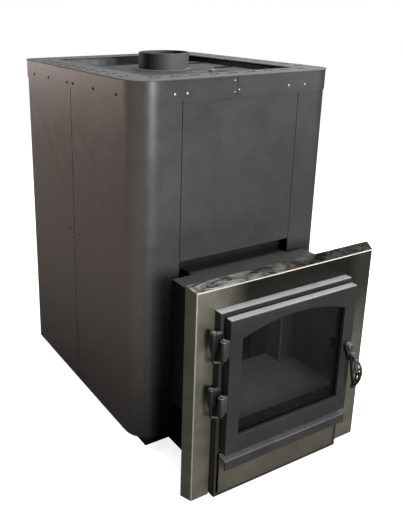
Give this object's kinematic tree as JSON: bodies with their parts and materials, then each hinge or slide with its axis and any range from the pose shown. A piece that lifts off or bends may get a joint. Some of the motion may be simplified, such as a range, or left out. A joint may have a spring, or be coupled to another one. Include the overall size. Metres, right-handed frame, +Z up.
{
  "type": "wood burning stove",
  "caption": "Through-wall sauna stove with a sheet casing, stone well and flue collar on top, and a glazed door on link hinges over an ash drawer.",
  "frame": {"origin": "on the floor, under the middle of the casing in both directions", "axes": "+Z up, the fuel door faces -Y, +X is to the right seen from in front of the door"},
  "size_m": [0.487, 0.7938, 0.82],
  "materials": {
    "casing_enamel": "satin heat-proof grey-black enamel",
    "top_plate_paint": "matt warm grey heat-proof paint",
    "welded_steel": "matt black heat-proof paint over welded plate",
    "black_iron": "satin black enamel on cast iron",
    "polished_stainless": "mirror-polished stainless sheet",
    "galvanised_steel": "dull galvanised sheet",
    "fireclay": "rough pressed firebrick",
    "rope_seal": "black glass-fibre rope",
    "fire_glass": "smoke-tinted glass-ceramic"
  },
  "bodies": {
    "stove": {"ash_channel": "welded_steel", "baffle_plate": "welded_steel", "base_tray": "welded_steel", "casing_back": "casing_enamel", "casing_front_centre": "casing_enamel", "casing_front_left": "casing_enamel", "casing_front_right": "casing_enamel", "casing_rear_left": "casing_enamel", "casing_rear_right": "casing_enamel", "casing_stay_front_left": "welded_steel", "casing_stay_front_right": "welded_steel", "casing_stay_rear_left": "welded_steel", "casing_stay_rear_right": "welded_steel", "door_frame": "black_iron", "drawer_runner_left": "welded_steel", "drawer_runner_right": "welded_steel", "firebox_body": "welded_steel", "firebox_floor": "welded_steel", "firebrick_left": "fireclay", "firebrick_rear": "fireclay", "firebrick_right": "fireclay", "flue_collar": "casing_enamel", "frame_hinge_lower": "black_iron", "frame_hinge_upper": "black_iron", "fuel_tunnel": "welded_steel", "grate": "black_iron", "portal_box": "welded_steel", "portal_facing": "polished_stainless", "rear_shield": "galvanised_steel", "side_shield_left": "galvanised_steel", "side_shield_right": "galvanised_steel", "sill_plate": "welded_steel", "top_band_left": "casing_enamel", "top_band_right": "casing_enamel", "top_plate": "top_plate_paint", "top_plate_bolt": "galvanised_steel", "top_rim": "casing_enamel"},
    "hinge_link": {"hinge_link_upper": "welded_steel", "hinge_link_lower": "welded_steel"},
    "door": {"door_casting": "black_iron", "door_glass": "fire_glass", "glass_gasket": "rope_seal", "glass_retainer": "welded_steel", "door_seal": "rope_seal", "door_hinge_upper": "black_iron", "door_hinge_lower": "black_iron"},
    "latch": {"latch_spindle": "black_iron", "latch_lever": "black_iron", "latch_tongue": "black_iron", "latch_handle": "black_iron"},
    "ash_drawer": {"ash_drawer_tray": "welded_steel", "ash_drawer_face": "black_iron", "ash_drawer_lip": "black_iron"}
  },
  "joints": [
    {"name": "link_swing", "type": "hinge", "parent": "stove", "child": "hinge_link", "pos_m": [-0.185, -0.456, 0.29], "axis": [0, 0, -1], "range_deg": [0, 80]},
    {"name": "door_swing", "type": "hinge", "parent": "hinge_link", "child": "door", "pos_m": [-0.171, -0.468, 0.29], "axis": [0, 0, -1], "range_deg": [0, 95]},
    {"name": "latch_turn", "type": "hinge", "parent": "door", "child": "latch", "pos_m": [0.139, -0.46, 0.266], "axis": [0, -1, 0], "range_deg": [0, 90]},
    {"name": "ash_drawer_slide", "type": "slide", "parent": "stove", "child": "ash_drawer", "axis": [0, -1, 0], "range_m": [0, 0.24]}
  ]
}
